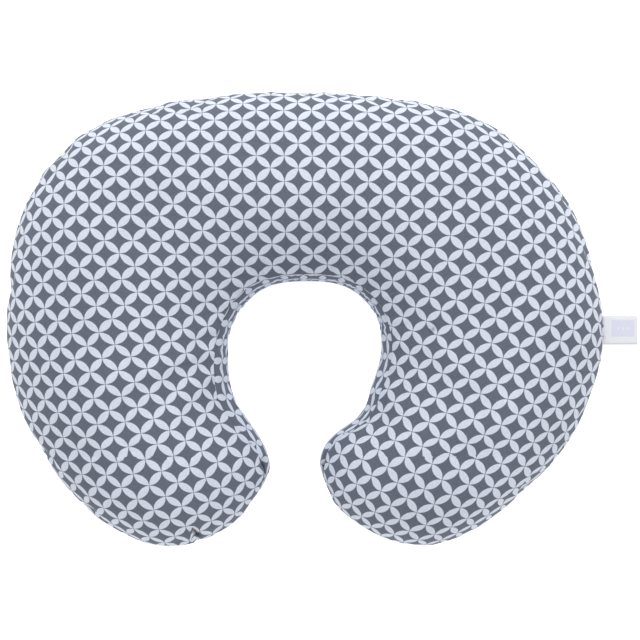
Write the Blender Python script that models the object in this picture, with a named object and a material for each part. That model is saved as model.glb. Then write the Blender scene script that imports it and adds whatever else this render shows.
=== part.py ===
"""Nursing pillow: a C-shaped stuffed pillow inside a zipped, printed slipcover.

Metres, +Z up. The pillow lies on the flat patch of its bottom at z = 0, with its closed
back towards +Y, its mouth towards -Y and the sewn-in label on its +X side.

Every layer is the same body, set further in: a spine runs through the middle of the C,
rays go from the spine to the outline, and each ray carries an elliptical section. The
cover alone stands out of it a little at the back of the opening, where the seams of its
inner gusset make corners.
"""

import math
from collections import namedtuple

import bmesh
import bpy
import numpy as np
from mathutils import Matrix, Vector

# Moves the plan so that the middle of the overall box, label included, is the origin
PLAN_SHIFT = Vector((-0.0160, -0.0003, 0))

# Section of the pillow
MID_HEIGHT = 0.0745  # height of the widest line, where the outer seam lies
CROWN_BACK = 0.0755  # rise of the top above it, at the back
CROWN_TIP = 0.0665  # and at the ends of the arms
DEPTH = 0.0805  # drop of the bottom below it, before the floor flattens it

# Layers, as depths below the cover's outer face
CLOTH = 0.0012
CARE_LABEL_DEPTH = 0.0029
CASING_LABEL_DEPTH = 0.0046
LABEL_CLOTH = 0.0004
CASING_DEPTH = 0.0058
CASING_CLOTH = 0.0010
FILL_DEPTH = 0.0073
GAP = 0.0004

# The back of the outline is one circular arc, which the zip follows
BACK_RADIUS = 0.620
BACK_CENTRE = Vector((-0.008, -0.417))
BACK_HALF_ANGLE = math.radians(13.5)

# The outline from the arc's right end, clockwise to its left end
RIGHT_SIDE = (
    (0.169, 0.169), (0.211, 0.133), (0.240, 0.090), (0.257, 0.038), (0.265, -0.015),
    (0.254, -0.066), (0.232, -0.112), (0.196, -0.152), (0.150, -0.187),
)
RIGHT_TIP = ((0.098, -0.2025), (0.056, -0.187), (0.024, -0.161), (0.012, -0.135))
INNER_CURVE = (
    (0.020, -0.110), (0.043, -0.091), (0.058, -0.064), (0.068, -0.030), (0.061, 0.006),
    (0.037, 0.028), (0.000, 0.0335), (-0.037, 0.027), (-0.060, 0.004), (-0.0695, -0.033),
    (-0.066, -0.064), (-0.049, -0.095), (-0.035, -0.118),
)
LEFT_TIP = ((-0.032, -0.138), (-0.045, -0.163), (-0.077, -0.189), (-0.123, -0.2025))
LEFT_SIDE = (
    (-0.168, -0.188), (-0.209, -0.153), (-0.235, -0.118), (-0.252, -0.082),
    (-0.263, -0.037), (-0.2635, 0.030), (-0.256, 0.079), (-0.242, 0.115),
    (-0.215, 0.151), (-0.180, 0.174),
)
# Where sections cross the C, as a point near the outer side and one near the inner side
SECTIONS = (
    ((-0.235, -0.118), (-0.035, -0.118)),
    ((-0.2645, -0.022), (-0.0693, -0.033)),
    ((-0.205, 0.157), (-0.052, 0.015)),
    ((-0.008, 0.203), (-0.001, 0.0335)),
    ((0.195, 0.149), (0.053, 0.017)),
    ((0.265, -0.015), (0.068, -0.030)),
    ((0.229, -0.118), (0.0145, -0.118)),
)
SPINE_STATIONS = 33
TIP_RAYS = 11

# Inner gusset: the strip around the opening, pointed at both ends
GUSSET_RISE_LEFT = 0.031  # half its height, along the left arm
GUSSET_RISE_RIGHT = 0.027  # along the right arm
GUSSET_RISE_BACK = 0.036  # and at the back of the opening
GUSSET_BULGE = 0.0062  # its seams stand this far out of the section's ellipse there
BULGE_FADE = math.radians(13)  # and less and less up the panels beside it
GUSSET_TAPER = 0.085
GUSSET_LEFT_END = Vector((-0.042, -0.158))
GUSSET_RIGHT_END = Vector((0.017, -0.149))

# Zip, in its own section: out of the cloth and up along it
ZIP_DROP = 0.022  # the seam runs this far below the widest line at the back
ZIP_DROP_START = math.radians(15)
ZIP_DROP_END = math.radians(24)
ZIP_LEAN = math.radians(18)
ZIP_RADIUS = BACK_RADIUS - 0.0036
ZIP_SLOT = 0.0052  # half the slot between the two panels
ZIP_SLOT_END = math.radians(18)
COIL_HALF_ANGLE = math.radians(12.0)
TAPE_HALF_ANGLE = math.radians(12.9)
SLIDER_PARK = math.radians(11.4)
TAPE_OUT = -0.0032
TAPE_BACK = -0.0036
TAPE_WIDTH = 0.0080
TOOTH_GAP = 0.0005
COIL_BACK = -0.0029
COIL_FRONT = -0.0008
COIL_WIDTH = 0.0025
STOP_LENGTH = math.radians(0.24)
SLIDER_LENGTH = 0.0100
SLIDER_HALF_WIDTH = 0.0040
PIN_OUT = 0.0020
PIN_RADIUS = 0.0005
PULL_LENGTH = 0.0240

# Brand label: a folded tape in the outer seam
LABEL_Y = (-0.0233, 0.0022)
LABEL_ROOT = 0.2656
LABEL_REACH = 0.0314
LABEL_HALF = 0.0007

Station = namedtuple("Station", "spine centre way reach crown rise bulge")


def smoothstep(low, high, value):
    t = min(max((value - low) / (high - low), 0.0), 1.0)
    return t * t * (3 - 2 * t)


def spline(points, closed, samples):
    """Points along a C2 cubic spline, samples of them between each pair."""
    p = np.array(points, float)
    count = len(p)
    spans = count if closed else count - 1
    ahead = np.roll(p, -1, axis=0)
    h = np.linalg.norm(ahead - p, axis=1)
    slope = (ahead - p) / h[:, None]
    a = np.zeros((count, count))
    b = np.zeros((count, 2))
    for i in range(count):
        if closed or 0 < i < count - 1:
            a[i, i - 1] += h[i]
            a[i, i] += 2 * (h[i - 1] + h[i])
            a[i, (i + 1) % count] += h[i - 1]
            b[i] = 3 * (h[i] * slope[i - 1] + h[i - 1] * slope[i])
    if not closed:
        a[0, 0], a[0, 1], b[0] = 2, 1, 3 * slope[0]
        a[-1, -1], a[-1, -2], b[-1] = 2, 1, 3 * slope[-2]
    m = np.linalg.solve(a, b)
    out = []
    for i in range(spans):
        j = (i + 1) % count
        for k in range(samples):
            t = k / samples
            out.append(
                p[i] * (1 + 2 * t) * (1 - t) ** 2
                + m[i] * h[i] * t * (1 - t) ** 2
                + p[j] * t * t * (3 - 2 * t)
                + m[j] * h[i] * t * t * (t - 1)
            )
    if not closed:
        out.append(p[-1])
    return np.array(out)


def arc_point(angle, radius=BACK_RADIUS):
    """A point on a circle about the zip's axis, angle from +Y towards +X."""
    return (
        BACK_CENTRE.x + radius * math.sin(angle),
        BACK_CENTRE.y + radius * math.cos(angle),
    )


def outline():
    steps = 6
    back = [
        arc_point(BACK_HALF_ANGLE * (2 * i / steps - 1)) for i in range(steps + 1)
    ]
    points = [*back, *RIGHT_SIDE, *RIGHT_TIP, *INNER_CURVE, *LEFT_TIP, *LEFT_SIDE]
    return spline(points, True, 16)


def make_stations():
    """Rays in a closed loop: outer side left to right, right tip, inner side, left tip."""
    line = outline()
    line = np.vstack((line, line[:1]))
    lengths = np.linalg.norm(np.diff(line, axis=0), axis=1)
    along = np.concatenate(([0], np.cumsum(lengths)))
    total = along[-1]

    def place_of(point):
        return along[np.argmin(np.linalg.norm(line - np.array(point), axis=1))]

    def point_at(s):
        return np.array([np.interp(s % total, along, line[:, k]) for k in (0, 1)])

    pairs = []
    for outer, inner in SECTIONS:
        s_outer = place_of(outer)
        if s_outer > total / 2:
            s_outer -= total
        pairs.append((s_outer, place_of(inner)))
    match = spline(pairs, False, 24)
    outer_places = np.linspace(pairs[0][0], pairs[-1][0], SPINE_STATIONS)
    inner_places = np.interp(outer_places, match[:, 0], match[:, 1])
    last = SPINE_STATIONS - 1
    right = np.linspace(outer_places[-1], inner_places[-1], TIP_RAYS + 2)[1:-1]
    left = np.linspace(inner_places[0], outer_places[0] + total, TIP_RAYS + 2)[1:-1]
    centres = [
        (point_at(a) + point_at(b)) / 2 for a, b in zip(outer_places, inner_places)
    ]
    middle = last / 2
    ring = list(zip(range(SPINE_STATIONS), outer_places))
    ring += [(last, s) for s in right]
    ring += list(zip(reversed(range(SPINE_STATIONS)), reversed(inner_places)))
    ring += [(0, s) for s in left]
    stations = []
    for k, s in ring:
        arm = point_at(s) - centres[k]
        reach = float(np.linalg.norm(arm))
        crown = CROWN_BACK - (CROWN_BACK - CROWN_TIP) * abs(k / middle - 1) ** 4
        stations.append(Station(k, centres[k], arm / reach, reach, crown, 0.0, 0.0))
    return stations


def rim(station):
    """Where the ray meets the outline."""
    return station.centre + station.way * station.reach


def elevation_of(station, rise):
    """The section's elevation angle at a height above or below the widest line."""
    return math.asin(rise / (station.crown if rise > 0 else DEPTH))


def stand_out(station, elevation):
    """How far the corners at the gusset's seams push the cover out of the ellipse."""
    if not station.bulge:
        return 0.0
    seam = elevation_of(station, math.copysign(station.rise, elevation))
    if abs(elevation) < abs(seam):
        return station.bulge * (elevation / seam) ** 2
    return station.bulge * math.exp((abs(seam) - abs(elevation)) / BULGE_FADE)


def layer_point(station, elevation, inset):
    """A point of the layer that lies inset below the cover's outer face."""
    height = (station.crown if elevation > 0 else DEPTH) - inset
    reach = (station.reach - inset) * math.cos(elevation) + stand_out(station, elevation)
    x, y = station.centre + station.way * reach
    z = MID_HEIGHT + height * math.sin(elevation)
    return Vector((x, y, max(z, inset)))


def with_gusset(stations):
    """The cover's stations, which know the gusset's half height, and its two ends."""
    rims = [rim(s) for s in stations]
    first = SPINE_STATIONS
    ring = range(first, len(stations))
    start = min(ring, key=lambda i: np.linalg.norm(rims[i] - np.array(GUSSET_RIGHT_END)))
    end = min(ring, key=lambda i: np.linalg.norm(rims[i] - np.array(GUSSET_LEFT_END)))
    along = {start: 0.0}
    for i in range(start + 1, end + 1):
        along[i] = along[i - 1] + float(np.linalg.norm(rims[i] - rims[i - 1]))
    length = along[end]
    cover = list(stations)
    for i in range(start + 1, end):
        s = along[i]
        taper = math.sin(math.pi / 2 * min(s / GUSSET_TAPER, (length - s) / GUSSET_TAPER, 1))
        left = smoothstep(0.35, 0.65, s / length)
        side = GUSSET_RISE_RIGHT + (GUSSET_RISE_LEFT - GUSSET_RISE_RIGHT) * left
        back = math.sin(math.pi * s / length) ** 6
        cover[i] = stations[i]._replace(
            rise=taper * (side - (side - GUSSET_RISE_BACK) * back), bulge=GUSSET_BULGE * back
        )
    return cover, start, end


def cover_rims(stations):
    """Elevation of the top panel's and the bottom panel's edge at each station."""
    tops, bottoms = [], []
    for i, station in enumerate(stations):
        half, drop = GAP / 2, 0.0
        if i < SPINE_STATIONS:
            x, y = rim(station) - np.array(BACK_CENTRE)
            angle = abs(math.atan2(x, y))
            drop = ZIP_DROP * (1 - smoothstep(ZIP_DROP_START, ZIP_DROP_END, angle))
            half += ZIP_SLOT * (1 - smoothstep(TAPE_HALF_ANGLE, ZIP_SLOT_END, angle))
        tops.append(elevation_of(station, station.rise + half - drop))
        bottoms.append(elevation_of(station, -station.rise - half - drop))
    return tops, bottoms


TOP_ROWS = (0.0, 0.10, 0.24, 0.40, 0.58, 0.78)
BOTTOM_ROWS = (0.0, 0.14, 0.34, 0.56, 0.78, 1.0)
CORE_ROWS = (0.0, 0.20, 0.42, 0.68)


def floor_elevation(inset):
    """The elevation at which a layer's lower half meets its flat bottom."""
    return -math.asin((MID_HEIGHT - inset) / (DEPTH - inset))


def sheet(bm, stations, rims, upper, inset, rows):
    """One curved sheet from its edge to the spine. Gives the vertices of its edge."""
    end = math.pi / 2 if upper else floor_elevation(inset)
    pole = math.pi / 2 if upper else -math.pi / 2
    spine = {}
    for station in stations:
        if station.spine not in spine:
            spine[station.spine] = bm.verts.new(layer_point(station, pole, inset))
    grid = []
    for station, edge in zip(stations, rims):
        levels = [edge + (end - edge) * row for row in rows]
        grid.append([bm.verts.new(layer_point(station, e, inset)) for e in levels])
    count = len(stations)
    for i in range(count):
        j = (i + 1) % count
        for a, b, c, d in zip(grid[i], grid[j], grid[j][1:], grid[i][1:]):
            bm.faces.new((a, b, c, d))
        near, far = spine[stations[i].spine], spine[stations[j].spine]
        last = (grid[i][-1], grid[j][-1])
        bm.faces.new((*last, far) if near is far else (*last, far, near))
    return [column[0] for column in grid]


def bridge(bm, loop_a, loop_b, closed=True):
    count = len(loop_a)
    for i in range(count if closed else count - 1):
        j = (i + 1) % count
        bm.faces.new((loop_a[i], loop_a[j], loop_b[j], loop_b[i]))


def finish_mesh(name, bm, material, parent=None, matrix=None, smooth=35):
    bmesh.ops.recalc_face_normals(bm, faces=bm.faces)
    mesh = bpy.data.meshes.new(name)
    bm.to_mesh(mesh)
    bm.free()
    mesh.materials.append(material)
    mesh.shade_smooth()
    mesh.set_sharp_from_angle(angle=math.radians(smooth))
    piece = bpy.data.objects.new(name, mesh)
    bpy.context.collection.objects.link(piece)
    if parent is not None:
        piece.parent = parent
    if matrix is not None:
        piece.matrix_local = matrix
    return piece


def panel(name, stations, rims, upper, inset, thickness, rows, material):
    """A cloth panel: an outer and an inner sheet joined along the panel's edge."""
    bm = bmesh.new()
    outer = sheet(bm, stations, rims, upper, inset, rows)
    inner = sheet(bm, stations, rims, upper, inset + thickness, rows)
    bridge(bm, outer, inner)
    return finish_mesh(name, bm, material)


def gusset(name, stations, start, end, material):
    """The strip around the opening. Its ends taper towards the points of the two arms."""
    steps = 4
    tip_share = 0.12
    columns = []
    for i in range(start + 1, end):
        station = stations[i]
        top = elevation_of(station, station.rise - GAP / 2)
        bottom = elevation_of(station, -station.rise + GAP / 2)
        levels = [bottom + (top - bottom) * k / steps for k in range(steps + 1)]
        columns.append([[layer_point(station, e, t) for t in (0, CLOTH)] for e in levels])

    def end_column(index, near):
        tip = [layer_point(stations[index], 0, t) for t in (0, CLOTH)]
        return [[tip[t].lerp(level[t], tip_share) for t in (0, 1)] for level in near]

    columns = [end_column(start, columns[0]), *columns, end_column(end, columns[-1])]
    bm = bmesh.new()
    grid = [[[bm.verts.new(p) for p in level] for level in column] for column in columns]
    for face in (0, 1):
        for near, far in zip(grid, grid[1:]):
            bridge(bm, [v[face] for v in near], [v[face] for v in far], closed=False)
    for level in (0, steps):
        outer = [column[level][0] for column in grid]
        inner = [column[level][1] for column in grid]
        bridge(bm, outer, inner, closed=False)
    for column in (grid[0], grid[-1]):
        bridge(bm, [v[0] for v in column], [v[1] for v in column], closed=False)
    return finish_mesh(name, bm, material)


def filling(stations, material):
    bm = bmesh.new()
    level = [0.0] * len(stations)
    top = sheet(bm, stations, level, True, FILL_DEPTH, CORE_ROWS)
    bottom = sheet(bm, stations, level, False, FILL_DEPTH, (0.0, 0.3, 0.65, 1.0))
    targets = dict(zip(bottom, top))
    bmesh.ops.weld_verts(bm, targetmap=targets)
    return finish_mesh("fill_core", bm, material)


def label_patch(name, near, far, low, high, inset, material):
    """A small cloth label that lies along one facet of the layers beside it."""
    steps = 6
    levels = [math.radians(low + (high - low) * k / steps) for k in range(steps + 1)]
    bm = bmesh.new()
    grid = [
        [
            [bm.verts.new(layer_point(station, e, inset + t)) for t in (0, LABEL_CLOTH)]
            for e in levels
        ]
        for station in (near, far)
    ]
    for face in (0, 1):
        bridge(bm, [v[face] for v in grid[0]], [v[face] for v in grid[1]], closed=False)
    for column in grid:
        bridge(bm, [v[0] for v in column], [v[1] for v in column], closed=False)
    for level in (0, steps):
        bm.faces.new(
            (grid[0][level][0], grid[1][level][0], grid[1][level][1], grid[0][level][1])
        )
    return finish_mesh(name, bm, material)


def zip_frame(angle):
    """Axes at an angle of the zip's arc: along the zip, out of the cloth, up the cloth."""
    c, s = math.cos(angle), math.sin(angle)
    out = Vector((s, c, 0)) * math.cos(ZIP_LEAN) - Vector((0, 0, math.sin(ZIP_LEAN)))
    along = Vector((c, -s, 0))
    up = along.cross(out)
    x, y = arc_point(angle, ZIP_RADIUS)
    matrix = Matrix((along, out, up)).transposed().to_4x4()
    matrix.translation = (x, y, MID_HEIGHT - ZIP_DROP)
    return matrix


def along_zip(name, profile, start, end, steps, material):
    """A profile, given out of and up along the cloth, swept about the zip's axis."""
    bm = bmesh.new()
    rings = []
    for i in range(steps + 1):
        frame = zip_frame(start + (end - start) * i / steps)
        rings.append([bm.verts.new(frame @ Vector((0, out, up))) for out, up in profile])
    for near, far in zip(rings, rings[1:]):
        bridge(bm, near, far)
    bm.faces.new(rings[0])
    bm.faces.new(rings[-1])
    return finish_mesh(name, bm, material)


def prism(bm, outline_points, low, high, axis):
    """An outline in the two other axes, drawn out along one axis of the slider."""
    rings = []
    for level in (low, high):
        ring = []
        for a, b in outline_points:
            place = [a, b]
            place.insert(axis, level)
            ring.append(bm.verts.new(place))
        rings.append(ring)
    bridge(bm, rings[0], rings[1])
    bm.faces.new(rings[0])
    bm.faces.new(rings[1])


def zip_slider(parent, material):
    """Front plate, post between the teeth and back plate, with the arch for the pull."""
    w = SLIDER_HALF_WIDTH
    front, face = -0.0002, 0.0010
    lip, lip_end = w - 0.0009, COIL_BACK + 0.0002
    post = 0.00022
    back, rear = TAPE_BACK - 0.0003, TAPE_BACK - 0.0011
    half = [(face, w), (lip_end, w), (lip_end, lip), (front, lip), (front, post),
            (back, post), (back, w), (rear, w)]
    profile = half + [(out, -up) for out, up in reversed(half)]
    frame = zip_frame(-SLIDER_PARK)
    matrix = parent.matrix_world.inverted() @ frame
    bm = bmesh.new()
    prism(bm, profile, -SLIDER_LENGTH / 2, SLIDER_LENGTH / 2, 0)
    body = finish_mesh("zip_slider", bm, material, parent, matrix)

    outer, inner = 0.0026, 0.0016
    top, under = PIN_OUT + 0.0016, PIN_OUT + 0.0008
    foot = face - 0.0003
    arch = [(-outer, foot), (-outer, top), (outer, top), (outer, foot),
            (inner, foot), (inner, under), (-inner, under), (-inner, foot)]
    bm = bmesh.new()
    prism(bm, arch, -0.0014, 0.0014, 2)
    tool = finish_mesh("arch_shape", bm, material, parent, matrix)
    tool.hide_render = True
    tool.display_type = "WIRE"
    union = body.modifiers.new("arch", "BOOLEAN")
    union.operation = "UNION"
    union.solver = "EXACT"
    union.object = tool
    return body


def zip_pull(slider, material):
    """A pin through the arch, two arms and a rounded tab that lies along the zip."""
    arm_in, arm_out = 0.0019, 0.0030
    half = 0.0006
    bridge_start = 0.0055
    bm = bmesh.new()
    plate = [(-0.0008, arm_in), (bridge_start, arm_in), (bridge_start, -arm_in),
             (-0.0008, -arm_in), (-0.0008, -arm_out), (0.010, -arm_out)]
    steps = 8
    centre = PULL_LENGTH - arm_out
    for i in range(steps + 1):
        angle = -math.pi / 2 + math.pi * i / steps
        plate.append((centre + arm_out * math.cos(angle), arm_out * math.sin(angle)))
    plate += [(0.010, arm_out), (-0.0008, arm_out)]
    prism(bm, plate, -half, half, 1)
    matrix = Matrix.Translation((0, PIN_OUT, 0))
    pull = finish_mesh("zip_pull", bm, material, slider, matrix)
    bm = bmesh.new()
    bmesh.ops.create_cone(
        bm, cap_ends=True, segments=10, radius1=PIN_RADIUS, radius2=PIN_RADIUS,
        depth=2 * arm_in + 0.0008,
    )
    tool = finish_mesh("pin_shape", bm, material, slider, matrix)
    tool.hide_render = True
    tool.display_type = "WIRE"
    union = pull.modifiers.new("pin", "BOOLEAN")
    union.operation = "UNION"
    union.solver = "EXACT"
    union.object = tool
    return pull


def make_zip(cloth, plastic, metal):
    for side, name in ((1, "upper"), (-1, "lower")):
        edge = TOOTH_GAP * side
        tape = [(TAPE_OUT, edge), (TAPE_OUT, TAPE_WIDTH * side),
                (TAPE_BACK, TAPE_WIDTH * side), (TAPE_BACK, edge)]
        along_zip(f"zip_tape_{name}", tape, -TAPE_HALF_ANGLE, TAPE_HALF_ANGLE, 20, cloth)
        far = COIL_WIDTH * side
        round_off = 0.0005
        coil = [(COIL_BACK, edge), (COIL_FRONT, edge),
                (COIL_FRONT, far - round_off * side),
                (COIL_FRONT - round_off, far), (COIL_BACK, far)]
        along_zip(f"zip_coil_{name}", coil, -COIL_HALF_ANGLE, COIL_HALF_ANGLE, 20, plastic)
        top_stop = [(COIL_BACK, edge), (COIL_FRONT, edge), (COIL_FRONT, far), (COIL_BACK, far)]
        start = -COIL_HALF_ANGLE - math.radians(0.06)
        along_zip(f"zip_top_stop_{name}", top_stop, start, start - STOP_LENGTH, 1, metal)
    w = COIL_WIDTH
    stop = [(COIL_BACK, -w), (COIL_FRONT, -w), (COIL_FRONT, w), (COIL_BACK, w)]
    start = COIL_HALF_ANGLE + math.radians(0.06)
    along_zip("zip_bottom_stop", stop, start, start + STOP_LENGTH, 1, metal)

    axis = bpy.data.objects.new("zip_arc_axis", None)
    bpy.context.collection.objects.link(axis)
    axis.location = (BACK_CENTRE.x, BACK_CENTRE.y, MID_HEIGHT - ZIP_DROP)
    bpy.context.view_layer.update()
    slider = zip_slider(axis, metal)
    zip_pull(slider, metal)


def brand_label(material):
    """A tape folded in half, its two ends in the seam and its fold outwards."""
    layer = 0.00055
    reach = LABEL_REACH
    steps = 5
    outer, inner = [], []
    for i in range(steps + 1):
        angle = math.pi / 2 - math.pi * i / steps
        c, s = math.cos(angle), math.sin(angle)
        outer.append((reach - LABEL_HALF + LABEL_HALF * c, LABEL_HALF * s))
        hollow = LABEL_HALF - layer
        inner.append((reach - LABEL_HALF + hollow * c, hollow * s))
    profile = [(0, LABEL_HALF), *outer, (0, -LABEL_HALF), (0, layer - LABEL_HALF)]
    profile += [*reversed(inner), (0, LABEL_HALF - layer)]
    half = (LABEL_Y[1] - LABEL_Y[0]) / 2
    bm = bmesh.new()
    prism(bm, profile, -half, half, 1)
    place = Matrix.Translation((LABEL_ROOT, LABEL_Y[0] + half, MID_HEIGHT))
    return finish_mesh("brand_label", bm, material, matrix=place)


def material(name, srgb, roughness, metallic=0.0):
    """A plain Principled material from 0-255 screen colours."""
    linear = [
        c / 12.92 if c <= 0.04045 else ((c + 0.055) / 1.055) ** 2.4
        for c in (value / 255 for value in srgb)
    ]
    made = bpy.data.materials.new(name)
    made.use_nodes = True
    shader = made.node_tree.nodes["Principled BSDF"]
    shader.inputs["Base Color"].default_value = (*linear, 1)
    shader.inputs["Roughness"].default_value = roughness
    shader.inputs["Metallic"].default_value = metallic
    return made


def main():
    for old in list(bpy.data.objects):
        bpy.data.objects.remove(old, do_unlink=True)

    stations = make_stations()
    cover, start, end = with_gusset(stations)
    tops, bottoms = cover_rims(cover)
    print_top = material("printed_cotton_top", (160, 167, 182), 0.85)
    print_bottom = material("printed_cotton_bottom", (158, 165, 180), 0.85)
    print_gusset = material("printed_cotton_gusset", (152, 159, 174), 0.85)
    panel("cover_top_panel", cover, tops, True, 0, CLOTH, TOP_ROWS, print_top)
    panel("cover_bottom_panel", cover, bottoms, False, 0, CLOTH, BOTTOM_ROWS, print_bottom)
    gusset("cover_inner_gusset", cover, start, end, print_gusset)

    casing = material("casing_cloth", (240, 239, 235), 0.9)
    seam = [GAP / 2 / CROWN_BACK] * len(stations)
    below = [-e for e in seam]
    panel("casing_top_panel", stations, seam, True, CASING_DEPTH, CASING_CLOTH, CORE_ROWS, casing)
    panel("casing_bottom_panel", stations, below, False, CASING_DEPTH, CASING_CLOTH,
          (0.0, 0.3, 0.65, 1.0), casing)
    filling(stations, material("polyester_fibre", (247, 247, 245), 1.0))

    label_cloth = material("label_satin", (232, 234, 246), 0.45)
    care = SPINE_STATIONS - 9
    label_patch("cover_care_label", stations[care], stations[care + 1], -4, -30,
                CARE_LABEL_DEPTH, label_cloth)
    label_patch("casing_care_label", stations[6], stations[7], 4, 30,
                CASING_LABEL_DEPTH, label_cloth)
    brand_label(label_cloth)

    make_zip(
        material("zip_tape_weave", (128, 133, 146), 0.9),
        material("zip_coil_nylon", (118, 123, 135), 0.4),
        material("zip_metal", (188, 190, 194), 0.3, 1.0),
    )
    for piece in bpy.data.objects:
        if piece.parent is None:
            piece.location += PLAN_SHIFT


main()
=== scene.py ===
"""Looks of the nursing pillow: printed cotton cover, seams, zip, label, studio."""

import math

import bmesh
import bpy
import numpy as np
from numpy.linalg import norm
from mathutils import Matrix, Vector, kdtree


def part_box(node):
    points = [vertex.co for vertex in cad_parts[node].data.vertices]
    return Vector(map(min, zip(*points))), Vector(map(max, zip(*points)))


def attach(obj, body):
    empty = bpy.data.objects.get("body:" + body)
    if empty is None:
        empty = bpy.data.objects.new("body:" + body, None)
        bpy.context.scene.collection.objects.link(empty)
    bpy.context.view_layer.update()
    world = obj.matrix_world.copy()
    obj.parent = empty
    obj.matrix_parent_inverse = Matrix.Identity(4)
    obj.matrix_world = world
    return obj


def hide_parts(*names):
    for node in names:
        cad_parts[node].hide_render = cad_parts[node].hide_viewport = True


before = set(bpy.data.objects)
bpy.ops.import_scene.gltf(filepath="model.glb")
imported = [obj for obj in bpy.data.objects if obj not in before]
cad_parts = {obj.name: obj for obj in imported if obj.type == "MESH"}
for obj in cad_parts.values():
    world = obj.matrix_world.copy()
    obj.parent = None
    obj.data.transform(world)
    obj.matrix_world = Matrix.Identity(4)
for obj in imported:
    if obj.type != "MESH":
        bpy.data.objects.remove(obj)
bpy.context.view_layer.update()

# --- Driving dimensions, as the CAD has them ---

PLAN_SHIFT = np.array((-0.0160, -0.0003))
CROWN_BACK = 0.0755
CROWN_TIP = 0.0665
DEPTH = 0.0805
BACK_RADIUS = 0.620
BACK_CENTRE = np.array((-0.008, -0.417))
BACK_HALF_ANGLE = math.radians(13.5)
RIGHT_SIDE = (
    (0.169, 0.169), (0.211, 0.133), (0.240, 0.090), (0.257, 0.038), (0.265, -0.015),
    (0.254, -0.066), (0.232, -0.112), (0.196, -0.152), (0.150, -0.187),
)
RIGHT_TIP = ((0.098, -0.2025), (0.056, -0.187), (0.024, -0.161), (0.012, -0.135))
INNER_CURVE = (
    (0.020, -0.110), (0.043, -0.091), (0.058, -0.064), (0.068, -0.030), (0.061, 0.006),
    (0.037, 0.028), (0.000, 0.0335), (-0.037, 0.027), (-0.060, 0.004), (-0.0695, -0.033),
    (-0.066, -0.064), (-0.049, -0.095), (-0.035, -0.118),
)
LEFT_TIP = ((-0.032, -0.138), (-0.045, -0.163), (-0.077, -0.189), (-0.123, -0.2025))
LEFT_SIDE = (
    (-0.168, -0.188), (-0.209, -0.153), (-0.235, -0.118), (-0.252, -0.082),
    (-0.263, -0.037), (-0.2635, 0.030), (-0.256, 0.079), (-0.242, 0.115),
    (-0.215, 0.151), (-0.180, 0.174),
)
SECTIONS = (
    ((-0.235, -0.118), (-0.035, -0.118)),
    ((-0.2645, -0.022), (-0.0693, -0.033)),
    ((-0.205, 0.157), (-0.052, 0.015)),
    ((-0.008, 0.203), (-0.001, 0.0335)),
    ((0.195, 0.149), (0.053, 0.017)),
    ((0.265, -0.015), (0.068, -0.030)),
    ((0.229, -0.118), (0.0145, -0.118)),
)
GUSSET_RISE_LEFT = 0.031
GUSSET_RISE_RIGHT = 0.027
GUSSET_RISE_BACK = 0.036
GUSSET_BULGE = 0.0062
BULGE_FADE = math.radians(13)
GUSSET_TAPER = 0.085
GUSSET_LEFT_END = (-0.042, -0.158)
GUSSET_RIGHT_END = (0.017, -0.149)
ZIP_DROP = 0.022
ZIP_DROP_START = math.radians(15)
ZIP_DROP_END = math.radians(24)
MID_HEIGHT = (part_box("brand_label")[0].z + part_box("brand_label")[1].z) / 2

# --- Where the cloth departs from the CAD ---

FLOOR_EASE = 0.004  # the bottom flattens gradually below this height
# The slot for the zip is narrower and closes nearer to the zip's ends
ZIP_SLOT = 0.0046
ZIP_SLOT_START = math.radians(11.9)
ZIP_SLOT_END = math.radians(13.2)

# --- Grid of the cover: intervals along the spine, around each tip, and up a section ---

SPINE_STEPS = 60
TIP_STEPS = 18
ROW_STEPS = 10
STRIP_STEPS = 4
FINE = 4  # the shown cloth is this much finer than the grid above
SIM_FINE = 2  # and the cloth that is blown up this much
ROW_CROWDING = 1.5

# --- Print: overlapping circles, whose overlaps are the pale leaves ---

REPEAT = (0.0235, 0.0219)  # across and up the cloth, between crossings in one row
CIRCLE = 0.695  # radius, as a share of a lattice cell's side
PRINT_ANCHOR = (0.0066, 0.1163)  # a crossing lies here, in the plan before the shift
GRAIN_AT = (0, 0.15, 0.30, 0.50, 0.70, 0.85, 1)  # from the left tip to the right tip
GRAIN_UP = (8, 6, 3, 2, -4, -9, -17)  # degrees that the cloth's length is turned by
GRAIN_ACROSS = (6, 2, -5, 0, -1, -6, -13)  # and its width
STRIP_REPEAT = 0.0161  # the gusset is cut with its length along the lattice
STRIP_LEAF_AT = (-0.0675, -0.0216)  # a leaf across the strip lies here
STRIP_ROW = 0.0195  # height of a row of leaves along it, above the widest line
GROUND_DARK = (101, 108, 122)
GROUND_LIGHT = (114, 121, 137)
LEAF_DARK = (222, 229, 245)
LEAF_LIGHT = (236, 242, 254)

# --- Cloth ---

# Settings of the blown-up cloth: shares by which the panels are larger than the filling
# and their sewn edges are gathered, stiffnesses and pressure
STUFFING = {
    "quality": 6, "mass": 0.15, "tension_stiffness": 40, "compression_stiffness": 40,
    "shear_stiffness": 12, "bending_stiffness": 0.06, "use_pressure": True,
    "uniform_pressure_force": 4.0, "shrink_min": -0.012, "shrink_max": 0.045,
}
FRAMES = 20
WELD_REACH = 0.0008
HELD_BELOW = 0.003  # cloth lower than this rests on the floor and stays put
SLOT_LEAST = 0.0004  # the zip's slot counts as open where half of it is wider
SMOOTH_ROUNDS = 30
MAX_OUT = 0.0018
MAX_IN = 0.0018
STRIP_MAX_OUT = 0.0003  # the gusset is kept close to its own outline
SLIP = 0.3  # share kept of the cloth's moves along itself
SEAM_DEPTH = 0.0022
SEAM_WIDTH = 0.0030
SEAM_LIFT = 0.0065  # how far the outer seam rides up at the lower right
SEAM_LIFT_AT = (0.200, -0.150)
SEAM_LIFT_LENGTH = 0.060
ALLOWANCE = 0.0040  # cloth turned in at each sewn edge
STRIP_TURNED = 0.06  # the print on it, as a share of the strip's height
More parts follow.
